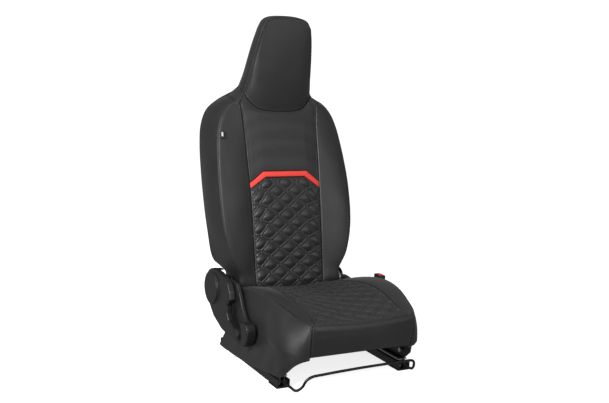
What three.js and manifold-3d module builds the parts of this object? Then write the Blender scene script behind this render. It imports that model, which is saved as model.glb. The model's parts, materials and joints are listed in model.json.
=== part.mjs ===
// Front seat of a small car, upholstered in a quilted cover, on slide rails.
// Millimetres, +Z up, the seat faces -Y, +X is the buckle side.
// Left is -X, the side of the recline lever.
import * as THREE from "three";
import { mergeVertices } from "three/addons/utils/BufferGeometryUtils.js";
import Module from "manifold-3d";

const wasm = await Module();
wasm.setup();

// ---------------------------------------------------------------- dimensions
const ORIGIN_Y = 263; // middle of the seat's depth, measured from the rails' front ends
const RAIL_X = 206; // middle of each rail
const RAIL_LENGTH = 422;
const RAIL_WIDTH = 38;
const FOOT_THICKNESS = 3;
const RAIL_BOTTOM = 3.3;
const RAIL_TOP = 34;
const BOLT_HOLE_R = 4.5; // M8 floor bolts
const BOLT_Y = [30, 392];
const PIVOT_Y = 424; // recline axis
const PIVOT_Z = 194;
const ROLL_R = 42; // roll of the backrest's lower edge about the recline axis
const RECLINE_SLOPE = 0.234; // backrest leans 13 degrees
const COVER = 1.4; // thickness of a cover panel
const FOAM_INSET = 3.9; // foam surface under the outside of the cover
const SEAM_GAP = 0.45; // each cover panel stops this far short of its seam
const BAR_Z = 17;
const BAR_PIVOT_Y = 112;
const CROWN_Z = 1058;

// Depth of the backrest's plane at height z, plus an offset towards the rear.
const backY = (z, off = 0) => 383 + RECLINE_SLOPE * (z - 204) + off;

// ------------------------------------------------------------------- helpers
const V = (x, y, z) => new THREE.Vector3(x, y, z);
const flip = (p) => V(-p.x, p.y, p.z);
const mirrored = (points) => points.map(flip);
const reversed = (points) => [...points].reverse();
const joined = (...runs) => runs.flatMap((run, i) => (i ? run.slice(1) : run));

// Evenly spaced points on a smooth curve through a few given ones.
function through(points, count, from = 0, to = 1) {
  const curve = new THREE.CatmullRomCurve3(points, false, "centripetal");
  const out = [];
  for (let i = 0; i <= count; i++) out.push(curve.getPointAt(from + ((to - from) * i) / count));
  return out;
}

// The place along a rising curve where it reaches height z.
function fractionAtHeight(points, z) {
  const curve = new THREE.CatmullRomCurve3(points, false, "centripetal");
  let low = 0.2;
  let high = 1;
  for (let i = 0; i < 40; i++) {
    const middle = (low + high) / 2;
    if (curve.getPointAt(middle).z < z) low = middle;
    else high = middle;
  }
  return low;
}

// Points along straight legs, each leg divided into its own count.
function legs(points, counts) {
  const out = [points[0]];
  counts.forEach((count, leg) => {
    for (let i = 1; i <= count; i++) out.push(points[leg].clone().lerp(points[leg + 1], i / count));
  });
  return out;
}

// Patch between four edges: rows run from the bottom edge to the top edge.
// fade makes the side edges' own shape die out sooner towards the middle.
function patch(bottom, top, left, right, fade = 1) {
  const nu = bottom.length - 1;
  const nv = left.length - 1;
  const rows = [];
  for (let j = 0; j <= nv; j++) {
    const row = [];
    const v = j / nv;
    const leftLine = bottom[0].clone().lerp(top[0], v);
    const rightLine = bottom[nu].clone().lerp(top[nu], v);
    for (let i = 0; i <= nu; i++) {
      const u = i / nu;
      if (j === 0) row.push(bottom[i].clone());
      else if (j === nv) row.push(top[i].clone());
      else if (i === 0) row.push(left[j].clone());
      else if (i === nu) row.push(right[j].clone());
      else {
        const p = bottom[i].clone().lerp(top[i], v);
        p.addScaledVector(left[j].clone().sub(leftLine), (1 - u) ** fade);
        p.addScaledVector(right[j].clone().sub(rightLine), u ** fade);
        row.push(p);
      }
    }
    rows.push(row);
  }
  return rows;
}

const mirroredPatch = (rows) => rows.map((row) => reversed(mirrored(row)));

// Swells a patch along its own normals; height(u, v) is zero on the edges.
function swollen(rows, height) {
  const nv = rows.length - 1;
  const nu = rows[0].length - 1;
  return rows.map((row, j) =>
    row.map((p, i) => {
      if (!i || !j || i === nu || j === nv) return p.clone();
      const du = row[i + 1].clone().sub(row[i - 1]);
      const dv = rows[j + 1][i].clone().sub(rows[j - 1][i]);
      return p.clone().addScaledVector(du.cross(dv).normalize(), height(i / nu, j / nv));
    }),
  );
}

const dome = (t, power = 0.6) => (4 * t * (1 - t)) ** power;
const pad = (amount, power = 0.6) => (u, v) => amount * dome(u, power) * dome(v, power);

const keyOf = (p) => [p.x, p.y, p.z].map((c) => Math.round(c * 1000)).join();

// Triangles of a patch, facing along du x dv.
function* cells(rows) {
  for (let j = 0; j < rows.length - 1; j++)
    for (let i = 0; i < rows[0].length - 1; i++) {
      const [a, b, c, d] = [rows[j][i], rows[j][i + 1], rows[j + 1][i + 1], rows[j + 1][i]];
      yield [a, b, c];
      yield [a, c, d];
    }
}

// One averaged normal for each place, shared by all the patches that meet there.
function normalField(patches) {
  const sums = new Map();
  for (const rows of patches)
    for (const [a, b, c] of cells(rows)) {
      const n = b.clone().sub(a).cross(c.clone().sub(a));
      for (const p of [a, b, c]) {
        const k = keyOf(p);
        sums.set(k, (sums.get(k) ?? V(0, 0, 0)).add(n));
      }
    }
  return (p) => sums.get(keyOf(p)).clone().normalize();
}

function geometryOf(triangles) {
  const positions = triangles.flatMap((t) => t.flatMap((p) => [p.x, p.y, p.z]));
  const geometry = new THREE.BufferGeometry();
  geometry.setAttribute("position", new THREE.Float32BufferAttribute(positions, 3));
  return geometry;
}

// A closed geometry as a manifold solid, turned to face out.
function solid(geometry) {
  const bare = geometry.index ? geometry.toNonIndexed() : geometry.clone();
  bare.deleteAttribute("normal");
  bare.deleteAttribute("uv");
  const merged = mergeVertices(bare, 1e-3);
  const build = (triVerts) =>
    new wasm.Manifold(
      new wasm.Mesh({
        numProp: 3,
        vertProperties: merged.attributes.position.array,
        triVerts,
      }),
    );
  const made = build(new Uint32Array(merged.index.array));
  if (made.volume() >= 0) return made;
  return build(new Uint32Array(merged.index.array).reverse());
}

function geometryFrom(manifold) {
  const mesh = manifold.getMesh();
  const geometry = new THREE.BufferGeometry();
  const positions = [];
  for (let i = 0; i < mesh.vertProperties.length; i += mesh.numProp)
    positions.push(...mesh.vertProperties.slice(i, i + 3));
  geometry.setAttribute("position", new THREE.Float32BufferAttribute(positions, 3));
  geometry.setIndex([...mesh.triVerts]);
  const flat = geometry.toNonIndexed();
  flat.computeVertexNormals();
  return flat;
}

// Thin sewn panel: the patch outside, and its copy one cover's thickness inside.
function coverPanel(rows, normalAt, thickness = COVER, gap = SEAM_GAP) {
  const nv = rows.length - 1;
  const nu = rows[0].length - 1;
  const step = (from, to) => to.clone().sub(from).normalize().multiplyScalar(gap);
  const outer = rows.map((row, j) =>
    row.map((p, i) => {
      const q = p.clone();
      if (i === 0) q.add(step(p, row[1]));
      if (i === nu) q.add(step(p, row[nu - 1]));
      if (j === 0) q.add(step(p, rows[1][i]));
      if (j === nv) q.add(step(p, rows[nv - 1][i]));
      return q;
    }),
  );
  const inner = outer.map((row, j) =>
    row.map((q, i) => q.clone().addScaledVector(normalAt(rows[j][i]), -thickness)),
  );
  const triangles = [...cells(outer)];
  for (const [a, b, c] of cells(inner)) triangles.push([a, c, b]);
  const rim = (grid) => [
    ...grid[0],
    ...grid.slice(1).map((row) => row[nu]),
    ...reversed(grid[nv]).slice(1),
    ...reversed(grid.slice(1, nv).map((row) => row[0])),
  ];
  const [above, below] = [rim(outer), rim(inner)];
  above.forEach((p, k) => {
    const next = (k + 1) % above.length;
    triangles.push([p, below[k], below[next]], [p, below[next], above[next]]);
  });
  return geometryOf(triangles);
}

// The room a cover panel takes up, with a little to spare on every side.
function panelRoom(rows, normalAt) {
  const normals = new Map();
  const lifted = rows.map((row) =>
    row.map((p) => {
      const q = p.clone().addScaledVector(normalAt(p), 1);
      normals.set(keyOf(q), normalAt(p));
      return q;
    }),
  );
  return solid(coverPanel(lifted, (q) => normals.get(keyOf(q)), COVER + 2.4, -0.8));
}

// Closed foam body under a set of patches that close on themselves.
function foamBody(patches, depth = FOAM_INSET) {
  const normalAt = normalField(patches);
  const sunk = (p) => p.clone().addScaledVector(normalAt(p), -depth);
  const triangles = patches.flatMap((rows) => [...cells(rows)].map((t) => t.map(sunk)));
  return solid(geometryOf(triangles));
}

// Round bar or wire along a smooth path.
function rod(points, radius, steps, sides = 8) {
  const shape = new THREE.Shape().absarc(0, 0, radius, 0, Math.PI * 2);
  return new THREE.ExtrudeGeometry(shape, {
    steps,
    extrudePath: new THREE.CatmullRomCurve3(points, false, "centripetal"),
    curveSegments: sides / 2,
    bevelEnabled: false,
  });
}

// Round bar along X.
function crossRod(x0, x1, y, z, radius, sides = 16) {
  const geometry = new THREE.CylinderGeometry(radius, radius, x1 - x0, sides);
  return geometry.rotateZ(Math.PI / 2).translate((x0 + x1) / 2, y, z);
}

function uprightRod(x, y, z0, z1, radius, sides = 16) {
  const geometry = new THREE.CylinderGeometry(radius, radius, z1 - z0, sides);
  return geometry.rotateX(Math.PI / 2).translate(x, y, (z0 + z1) / 2);
}

function block(x0, x1, y0, y1, z0, z1) {
  const geometry = new THREE.BoxGeometry(x1 - x0, y1 - y0, z1 - z0);
  return geometry.translate((x0 + x1) / 2, (y0 + y1) / 2, (z0 + z1) / 2);
}

const asShape = (outline) => new THREE.Shape(outline.map(([a, b]) => new THREE.Vector2(a, b)));

// Outline in the YZ plane, pulled from x0 to x1.
function sidePlate(outline, x0, x1, bevel = 0) {
  const geometry = new THREE.ExtrudeGeometry(asShape(outline), {
    depth: x1 - x0 - 2 * bevel,
    bevelEnabled: bevel > 0,
    bevelThickness: bevel,
    bevelSize: bevel,
    bevelOffset: -bevel,
    bevelSegments: 2,
    curveSegments: 6,
  });
  const turn = new THREE.Matrix4().makeBasis(V(0, 1, 0), V(0, 0, 1), V(1, 0, 0));
  return geometry.applyMatrix4(turn).translate(x0 + bevel, 0, 0);
}

// Section in the XZ plane, pulled along Y.
function alongY(outline, y0, y1) {
  const geometry = new THREE.ExtrudeGeometry(asShape(outline), {
    depth: y1 - y0,
    bevelEnabled: false,
  });
  const turn = new THREE.Matrix4().makeBasis(V(1, 0, 0), V(0, 0, 1), V(0, -1, 0));
  return geometry.applyMatrix4(turn).translate(0, y1, 0);
}

// Smooth closed outline through a few points.
function loop(points, count) {
  const curve = new THREE.CatmullRomCurve3(
    points.map(([a, b]) => V(a, b, 0)),
    true,
    "centripetal",
  );
  return curve.getSpacedPoints(count).slice(0, count).map((p) => [p.x, p.y]);
}

function arc(cy, cz, radius, from, to, count) {
  const out = [];
  for (let i = 0; i <= count; i++) {
    const angle = THREE.MathUtils.degToRad(from + ((to - from) * i) / count);
    out.push([cy + radius * Math.cos(angle), cz + radius * Math.sin(angle)]);
  }
  return out;
}

// The same outline drawn in by a distance.
function inset(outline, distance) {
  const count = outline.length;
  return outline.map(([y, z], i) => {
    const [py, pz] = outline[(i + count - 1) % count];
    const [ny, nz] = outline[(i + 1) % count];
    const length = Math.hypot(ny - py, nz - pz);
    return [y - ((nz - pz) / length) * distance, z + ((ny - py) / length) * distance];
  });
}

// ----------------------------------------------------------------- materials
const finishes = {
  leather: [0x1d1d1f, 0.5, 0],
  mesh: [0x242426, 0.7, 0],
  foam: [0xd8cf9a, 0.95, 0],
  red: [0xd0241f, 0.45, 0],
  plastic: [0x202123, 0.55, 0],
  blackSteel: [0x18191b, 0.45, 0.6],
  zinc: [0x8d9094, 0.4, 0.9],
  tag: [0x2a2c2f, 0.8, 0],
};

const seat = new THREE.Group();
seat.position.y = -ORIGIN_Y;

function add(name, shape, finish) {
  const [color, roughness, metalness] = finishes[finish];
  const made = shape.isBufferGeometry ? solid(shape) : shape;
  const mesh = new THREE.Mesh(
    geometryFrom(made),
    new THREE.MeshStandardMaterial({ color, roughness, metalness }),
  );
  mesh.name = name;
  seat.add(mesh);
}

const sides = [
  ["left", -1],
  ["right", 1],
];

// Box, plate or rod written for the right side, used on either side.
const onSide = (sign, geometry) => (sign > 0 ? geometry : geometry.scale(-1, 1, 1));

// ------------------------------------------------------------ slide and feet
const half = RAIL_WIDTH / 2;
const lowerSection = [
  [-half, RAIL_BOTTOM],
  [half, RAIL_BOTTOM],
  [half, 25],
  [9, 25],
  [9, 19],
  [11, 19],
  [11, 23],
  [half - 2, 23],
  [half - 2, RAIL_BOTTOM + 2],
  [2 - half, RAIL_BOTTOM + 2],
  [2 - half, 23],
  [-11, 23],
  [-11, 19],
  [-9, 19],
  [-9, 25],
  [-half, 25],
];
const upperHalf = [
  [6, RAIL_TOP - 2.5],
  [6, 8],
  [14, 8],
  [14, 16],
  [12, 16],
  [12, 10],
  [8, 10],
  [8, RAIL_TOP - 2.5],
  [16, RAIL_TOP - 2.5],
  [16, RAIL_TOP],
];
const upperSection = [...upperHalf, ...reversed(upperHalf).map(([x, z]) => [-x, z])];

for (const [side, sign] of sides) {
  let lower = solid(alongY(lowerSection, 0, RAIL_LENGTH).translate(sign * RAIL_X, 0, 0));
  for (const y of BOLT_Y)
    lower = lower.subtract(solid(uprightRod(sign * RAIL_X, y, 0, 8, BOLT_HOLE_R + 1)));
  add(`lower_rail_${side}`, lower, "blackSteel");
  add(
    `upper_rail_${side}`,
    alongY(upperSection, 12, 410).translate(sign * RAIL_X, 0, 0),
    "zinc",
  );
  ["front", "rear"].forEach((end, k) => {
    const y = BOLT_Y[k];
    const plate = solid(
      block(sign * RAIL_X - 21, sign * RAIL_X + 21, y - 28, y + 28, 0, FOOT_THICKNESS),
    );
    const hole = solid(uprightRod(sign * RAIL_X, y, -1, 5, BOLT_HOLE_R));
    add(`foot_${end}_${side}`, plate.subtract(hole), "blackSteel");
  });
}

// ------------------------------------------------------------- cushion frame
const frameOutline = [
  [-28, 66],
  [8, 34.4],
  [404, 34.4],
  [446, 96],
  ...arc(PIVOT_Y, PIVOT_Z, 38, -20, 190, 12),
  [370, 150],
  [364, 110],
  [-18, 103],
  [-32, 92],
];
for (const [side, sign] of sides) {
  let frame = solid(onSide(sign, sidePlate(frameOutline, 203, 206)));
  frame = frame.add(solid(onSide(sign, block(191, 204, 24, 396, 34.4, 37.4))));
  frame = frame.add(solid(onSide(sign, block(184, 204, 0, 300, 98, 101))));
  const holes = [
    [PIVOT_Y, PIVOT_Z, 6.5],
    [110, 70, 17],
    [210, 70, 17],
    [310, 74, 17],
  ];
  for (const [y, z, radius] of holes)
    frame = frame.subtract(solid(onSide(sign, crossRod(200, 209, y, z, radius))));
  add(`side_frame_${side}`, frame, "blackSteel");
  let disc = solid(onSide(sign, crossRod(195.2, 202.6, PIVOT_Y, PIVOT_Z, 30, 28)));
  disc = disc.subtract(solid(onSide(sign, crossRod(190, 205, PIVOT_Y, PIVOT_Z, 6.5))));
  add(`recliner_${side}`, disc, "zinc");
  const head = onSide(sign, crossRod(194, 202.6, 16, 62, 7, 6));
  add(`frame_bolt_${side}`, head, "zinc");
}
add("front_cross_tube", crossRod(-202.4, 202.4, 150, 84, 11), "blackSteel");
add("rear_cross_tube", crossRod(-202.4, 202.4, 352, 98, 11), "blackSteel");
const panOutline = [
  [-58, 102],
  [-50, 104],
  [140, 108],
  [150, 102],
  [152, 104],
  [141, 110],
  [-51, 106],
  [-59, 104],
];
add("cushion_pan", sidePlate(panOutline, -183, 183), "blackSteel");
for (let k = 0; k < 3; k++) {
  const points = [];
  for (let i = 0; i <= 9; i++)
    points.push(V((k - 1) * 110 + (i % 2 ? 22 : -22), 160 + i * 19.5, 113));
  add(`cushion_spring_${k + 1}`, rod(points, 2, 27, 4), "zinc");
}

// ------------------------------------------------------------ cushion covers
const ACROSS = [2, 4, 2]; // divisions of the middle column: outer, middle, outer
const MIDDLE = 8;
const BOLSTER = 3;
const CUSHION_ROWS = 9;

const insertEdge = through(
  [
    V(-160, -80, 206),
    V(-152, -52, 209),
    V(-149, -5, 220),
    V(-154, 60, 233),
    V(-156, 120, 238),
    V(-149, 200, 233),
    V(-136, 290, 216),
    V(-124, 360, 197),
  ],
  CUSHION_ROWS,
);
const frontSeam = through([V(-160, -80, 206), V(0, -84, 199.5), V(160, -80, 206)], MIDDLE);
const rearSeam = through([V(-124, 360, 197), V(0, 362, 191), V(124, 360, 197)], MIDDLE);

// One side of the cushion, written for the left: its long seam, the line where
// the foam ends and the loose skirt begins, and the skirt's hem.
function cushionHalf(seamPoints, waistPoints, hemPoints, swell) {
  const end = CUSHION_ROWS;
  const seam = through(seamPoints, end);
  const waist = through(waistPoints, end);
  const hem = through(hemPoints, end);
  const frontTurn = through([seam[0], insertEdge[0]], BOLSTER);
  const rearTurn = through([seam[end], insertEdge[end]], BOLSTER);
  const frontCorner = through([waist[0], V(-169, -83, 150), V(-169, -84, 180), seam[0]], 6);
  const rearCorner = through([waist[end], seam[end]], 6);
  const bolster = swollen(patch(frontTurn, rearTurn, seam, insertEdge), pad(5));
  const side = patch(reversed(waist), reversed(seam), rearCorner, frontCorner);
  const skirt = patch(
    reversed(hem),
    reversed(waist),
    through([hem[end], waist[end]], 4),
    through([hem[0], waist[0]], 4),
  );
  return {
    waist,
    frontTurn,
    rearTurn,
    frontCorner,
    rearCorner,
    bolster,
    side: swollen(side, swell),
    skirt,
  };
}

const bulge = (start, amount) => (u, v) => {
  const ahead = THREE.MathUtils.smoothstep(u, start, 0.95);
  return (3 + amount * Math.sin(ahead * Math.PI)) * dome(u) * dome(v);
};
const left = cushionHalf(
  [
    V(-168, -80, 206),
    V(-180, -47, 208),
    V(-189, 10, 218),
    V(-203, 80, 234),
    V(-211, 140, 242),
    V(-214, 200, 240),
    V(-213, 270, 228),
    V(-211, 330, 211),
    V(-210, 360, 197),
  ],
  [
    V(-166, -76, 108),
    V(-196, -67, 110),
    V(-221, -40, 113),
    V(-231, -5, 115),
    V(-230, 40, 117),
    V(-222, 95, 119),
    V(-216, 150, 120),
    V(-214, 220, 120),
    V(-213, 300, 120),
    V(-212, 360, 120),
  ],
  [
    V(-167, -76, 101),
    V(-189, -71, 96),
    V(-207, -56, 81),
    V(-217, -36, 59),
    V(-224, -12, 38),
    V(-230, 50, 31),
    V(-232, 150, 19),
    V(-232, 250, 8),
    V(-232, 330, 5),
    V(-231, 418, 5),
  ],
  bulge(0.5, 11),
);
const right = cushionHalf(
  [
    V(-168, -80, 206),
    V(-190, -47, 209),
    V(-210, 10, 219),
    V(-225, 80, 236),
    V(-230, 140, 243),
    V(-228, 200, 241),
    V(-222, 270, 228),
    V(-214, 330, 211),
    V(-210, 360, 197),
  ],
  [
    V(-166, -76, 108),
    V(-195, -68, 110),
    V(-216, -42, 113),
    V(-226, -5, 115),
    V(-231, 50, 117),
    V(-232, 120, 119),
    V(-230, 200, 120),
    V(-222, 290, 120),
    V(-212, 360, 120),
  ],
  [
    V(-167, -76, 101),
    V(-198, -56, 99),
    V(-214, -20, 93),
    V(-225, 40, 74),
    V(-231, 110, 48),
    V(-232, 200, 22),
    V(-232, 300, 7),
    V(-231, 418, 5),
  ],
  bulge(0.1, 9),
);
const frontHem = through([left.waist[0], V(0, -78, 110), flip(right.waist[0])], MIDDLE + 2 * BOLSTER);
const frontTop = joined(left.frontTurn, frontSeam, reversed(mirrored(right.frontTurn)));
const insert = swollen(
  patch(frontSeam, rearSeam, insertEdge, mirrored(insertEdge), 2),
  pad(3),
);
const front = swollen(
  patch(frontHem, frontTop, left.frontCorner, mirrored(right.frontCorner)),
  pad(4),
);
const end = CUSHION_ROWS;
const rearTop = joined(mirrored(right.rearTurn), reversed(rearSeam), reversed(left.rearTurn));
const rearBottom = through([flip(right.waist[end]), left.waist[end]], MIDDLE + 2 * BOLSTER);
const cushionRear = patch(rearBottom, rearTop, mirrored(right.rearCorner), left.rearCorner);
const cushionUnder = patch(
  reversed(rearBottom),
  frontHem,
  reversed(left.waist),
  reversed(mirrored(right.waist)),
);
const [bolsterRight, sideRight, skirtRight] = [right.bolster, right.side, right.skirt].map(
  mirroredPatch,
);
const cushionSkins = [insert, left.bolster, bolsterRight, front, left.side, sideRight];
const cushionNormal = normalField([...cushionSkins, left.skirt, skirtRight]);
let cushionFoam = foamBody([...cushionSkins, cushionRear, cushionUnder], 3.7);
for (const rows of [left.side, sideRight, left.bolster, bolsterRight])
  cushionFoam = cushionFoam.subtract(panelRoom(rows, cushionNormal));
add("cushion_foam", cushionFoam, "foam");
add("cushion_insert", coverPanel(insert, cushionNormal), "leather");
add("cushion_bolster_left", coverPanel(left.bolster, cushionNormal), "leather");
add("cushion_bolster_right", coverPanel(bolsterRight, cushionNormal), "leather");
add("cushion_front", coverPanel(front, cushionNormal), "leather");
add("cushion_side_left", coverPanel(joined(left.skirt, left.side), cushionNormal), "leather");
add("cushion_side_right", coverPanel(joined(skirtRight, sideRight), cushionNormal), "leather");

// ----------------------------------------------------------- backrest covers
const QUILT_ROWS = 7;
const STRIP_ROWS = 2;
const MESH_ROWS = 6;
const BACK_ROWS = QUILT_ROWS + STRIP_ROWS + MESH_ROWS;
const SIDE_COLUMNS = 3;
const NECK_ROWS = 2;
const HEAD_ROWS = 4;
const STRIP_LOW = 505;
const STRIP_HIGH = 524;

const rollPoint = (x, angle, radius) => {
  const a = THREE.MathUtils.degToRad(angle);
  return V(x, PIVOT_Y - radius * Math.cos(a), PIVOT_Z - radius * Math.sin(a));
};
const panelLine = [
  rollPoint(-114, 90, ROLL_R),
  rollPoint(-118, 45, ROLL_R),
  V(-122, backY(196, 1), 196),
  V(-124, backY(245), 245),
  V(-125, backY(340, -5), 340),
  V(-126, backY(440, -9), 440),
  V(-127, backY(515, -9), 515),
  V(-131, backY(610, -5), 610),
  V(-134, backY(705, -1), 705),
  V(-139, backY(762, 1), 762),
  V(-141, backY(778, 2), 778),
];
const ridgeLine = [
  rollPoint(-178, 90, ROLL_R),
  rollPoint(-180, 45, ROLL_R + 1),
  V(-182, backY(196, -2), 196),
  V(-184, backY(235, -8), 235),
  V(-194, backY(256, -13), 256),
  V(-209, backY(284, -18), 284),
  V(-220, backY(320, -22), 320),
  V(-230, backY(370, -24), 370),
  V(-235, backY(430, -24), 430),
  V(-236, backY(520, -17), 520),
  V(-232, backY(590, -8), 590),
  V(-226, backY(650, 1), 650),
  V(-217, backY(700, 7), 700),
  V(-202, backY(738, 9), 738),
  V(-180, backY(766, 8), 766),
  V(-151, backY(783, 5), 783),
];
const rearLine = [
  V(-178, 488, 188),
  V(-178, backY(236, 110), 236),
  V(-203, backY(250, 113), 250),
  V(-220, backY(262, 116), 262),
  V(-228, backY(285, 120), 285),
  V(-235, backY(360, 121), 360),
  V(-240, backY(440, 122), 440),
  V(-244, backY(540, 122), 540),
  V(-245, backY(640, 118), 640),
  V(-240, backY(700, 112), 700),
  V(-221, backY(750, 104), 750),
  V(-187, backY(781, 95), 781),
  V(-156, backY(798, 86), 798),
];
const low = fractionAtHeight(panelLine, STRIP_LOW);
const high = fractionAtHeight(panelLine, STRIP_HIGH);
const panelQuilt = through(panelLine, QUILT_ROWS, 0, low);
const panelStrip = through(panelLine, STRIP_ROWS, low, high);
const panelMesh = through(panelLine, MESH_ROWS, high, 1);
const panelEdge = joined(panelQuilt, panelStrip, panelMesh);
const ridge = through(ridgeLine, BACK_ROWS);
const rear = through(rearLine, BACK_ROWS);
const seamCorner = V(-123, 533, 812);
const gussetEnd = V(-115, 600, 828);
const neckFront = through([panelEdge[BACK_ROWS], seamCorner], NECK_ROWS);
const neckRear = through([rear[BACK_ROWS], V(-134, 606, 810), gussetEnd], NECK_ROWS);
const headFront = through(
  [seamCorner, V(-112, 516, 862), V(-104, 499, 925), V(-96, 484, 980), V(-85, 472, 1024)],
  HEAD_ROWS,
);
const headRear = through(
  [gussetEnd, V(-100, 596, 870), V(-91, 583, 920), V(-84, 566, 970), V(-74, 548, 1022)],
  HEAD_ROWS,
);
const crown = (corner, y, z) => {
  const lift = V(corner.x * 0.8, (corner.y + y) / 2, corner.z + (z - corner.z) * 0.72);
  return through([corner, lift, V(0, y, z), flip(lift), flip(corner)], MIDDLE);
};
const crownFront = crown(headFront[HEAD_ROWS], 474, CROWN_Z);
const crownRear = crown(headRear[HEAD_ROWS], 540, CROWN_Z);
const headSeam = through(
  [
    seamCorner,
    V(-111, 524, 790),
    V(-93, 517, 770),
    V(-70, 512, 758),
    V(0, 509, 752),
    V(70, 512, 758),
    V(93, 517, 770),
    V(111, 524, 790),
    flip(seamCorner),
  ],
  MIDDLE,
);
const stripEdge = (end, bendX, bendZ) => {
  const bend = V(-bendX, backY(bendZ, -13), bendZ);
  return legs([end, bend, flip(bend), flip(end)], ACROSS);
};
const stripLow = stripEdge(panelQuilt[QUILT_ROWS], 71, 542);
const stripHigh = stripEdge(panelStrip[STRIP_ROWS], 79, 560.5);
const quiltFoot = legs(
  [-114, -74, 74, 114].map((x) => rollPoint(x, 90, ROLL_R)),
  ACROSS,
);
const bolsterFoot = through([ridge[0], panelEdge[0]], BOLSTER);
const bolsterTip = through([ridge[BACK_ROWS], panelEdge[BACK_ROWS]], BOLSTER);
const sideFoot = through([rear[0], V(-180, 455, 165), ridge[0]], SIDE_COLUMNS);
const sideTop = through([rear[BACK_ROWS], V(-156, 560, 794), ridge[BACK_ROWS]], SIDE_COLUMNS);
const gussetFoot = through([gussetEnd, V(-124, 566, 821), seamCorner], SIDE_COLUMNS + BOLSTER);
const backFoot = through([flip(rear[0]), rear[0]], MIDDLE);

const quilt = swollen(
  patch(quiltFoot, stripLow, panelQuilt, mirrored(panelQuilt)),
  (u, v) => 5 * dome(u) * dome(v) * Math.min(1, v * 3),
);
const strip = swollen(patch(stripLow, stripHigh, panelStrip, mirrored(panelStrip)), pad(5, 0.4));
const meshEdge = joined(panelMesh, neckFront);
const meshPanel = swollen(patch(stripHigh, headSeam, meshEdge, mirrored(meshEdge)), pad(5));
const headPad = swollen(patch(headSeam, crownFront, headFront, mirrored(headFront)), pad(11));
const bolster = swollen(patch(bolsterFoot, bolsterTip, ridge, panelEdge), pad(8));
const side = swollen(patch(sideFoot, sideTop, rear, ridge), (u, v) => {
  const above = THREE.MathUtils.smoothstep(v, 0.22, 0.4);
  return 6 * above * dome(u) * dome(v);
});
const neck = patch(joined(sideTop, bolsterTip), gussetFoot, neckRear, neckFront);
const gussetRear = joined(headRear, crownRear, reversed(mirrored(headRear)));
const gussetFront = joined(headFront, crownFront, reversed(mirrored(headFront)));
const gusset = swollen(
  patch(gussetFoot, mirrored(gussetFoot), gussetRear, gussetFront),
  (u, v) => 6 * dome(u) * dome(v),
);
const backEdge = joined(rear, neckRear, headRear);
const backPanel = swollen(
  patch(backFoot, reversed(crownRear), mirrored(backEdge), backEdge),
  pad(12),
);
const sideLeftFoot = joined(sideFoot, bolsterFoot);
const underside = patch(reversed(backFoot), quiltFoot, sideLeftFoot, mirrored(sideLeftFoot));
const [bolsterR, sideR, neckR] = [bolster, side, neck].map(mirroredPatch);
const backSkins = {
  back_quilt: [quilt, "leather"],
  back_mesh: [meshPanel, "mesh"],
  headrest_pad: [headPad, "leather"],
  headrest_gusset: [gusset, "leather"],
  neck_left: [neck, "mesh"],
  neck_right: [neckR, "mesh"],
  back_bolster_left: [bolster, "leather"],
  back_bolster_right: [bolsterR, "leather"],
  back_side_left: [side, "leather"],
  back_side_right: [sideR, "leather"],
  back_panel: [backPanel, "leather"],
  red_strip: [strip, "red"],
};
const backPatches = [...Object.values(backSkins).map(([rows]) => rows), underside];
const backNormal = normalField(backPatches);

// ------------------------------------------------------------ backrest frame
const plateOutline = [
  ...arc(PIVOT_Y, PIVOT_Z, 40, -175, 5, 10),
  [backY(245, 100), 245],
  [backY(560, 92), 560],
  [backY(560, 54), 560],
  [backY(270, 50), 270],
  ...arc(PIVOT_Y, PIVOT_Z, 40, 100, 175, 5),
];
const plateRoom = [
  [backY(198, 0), 198],
  [backY(198, 104), 198],
  [backY(566, 100), 566],
  [backY(566, 46), 566],
  [backY(270, 42), 270],
  [backY(244, 0), 244],
];
const tubeHalf = [
  V(-175.6, backY(430, 73), 430),
  V(-175.6, backY(600, 73), 600),
  V(-174, backY(690, 72), 690),
  V(-150, backY(742, 66), 742),
  V(-104, backY(775, 58), 775),
  V(-74, 566, 815),
  V(-62, 552, 880),
  V(-58, 533, 965),
  V(-46, 526, 998),
];
const tubePath = [...tubeHalf, V(0, 523, 1008), ...reversed(mirrored(tubeHalf))];
const pocket = sidePlate(
  [
    [backY(246, 44), 246],
    [backY(246, 160), 246],
    [backY(730, 170), 730],
    [backY(745, 60), 745],
    [backY(700, 42), 700],
  ],
  -191,
  191,
);
const plateSlot = (sign) => solid(onSide(sign, sidePlate(plateRoom, 185.6, 192.8)));
// The largest of the pieces a cut leaves.
const largest = (manifold) => manifold.decompose().sort((a, b) => b.volume() - a.volume())[0];

let backFoam = foamBody(backPatches);
backFoam = backFoam.subtract(solid(pocket));
backFoam = backFoam.subtract(solid(rod(tubePath, 11.6, 44, 8)));
backFoam = backFoam.subtract(solid(crossRod(-200, 200, PIVOT_Y, PIVOT_Z, 8)));
for (const [, sign] of sides) backFoam = backFoam.subtract(plateSlot(sign));
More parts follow.
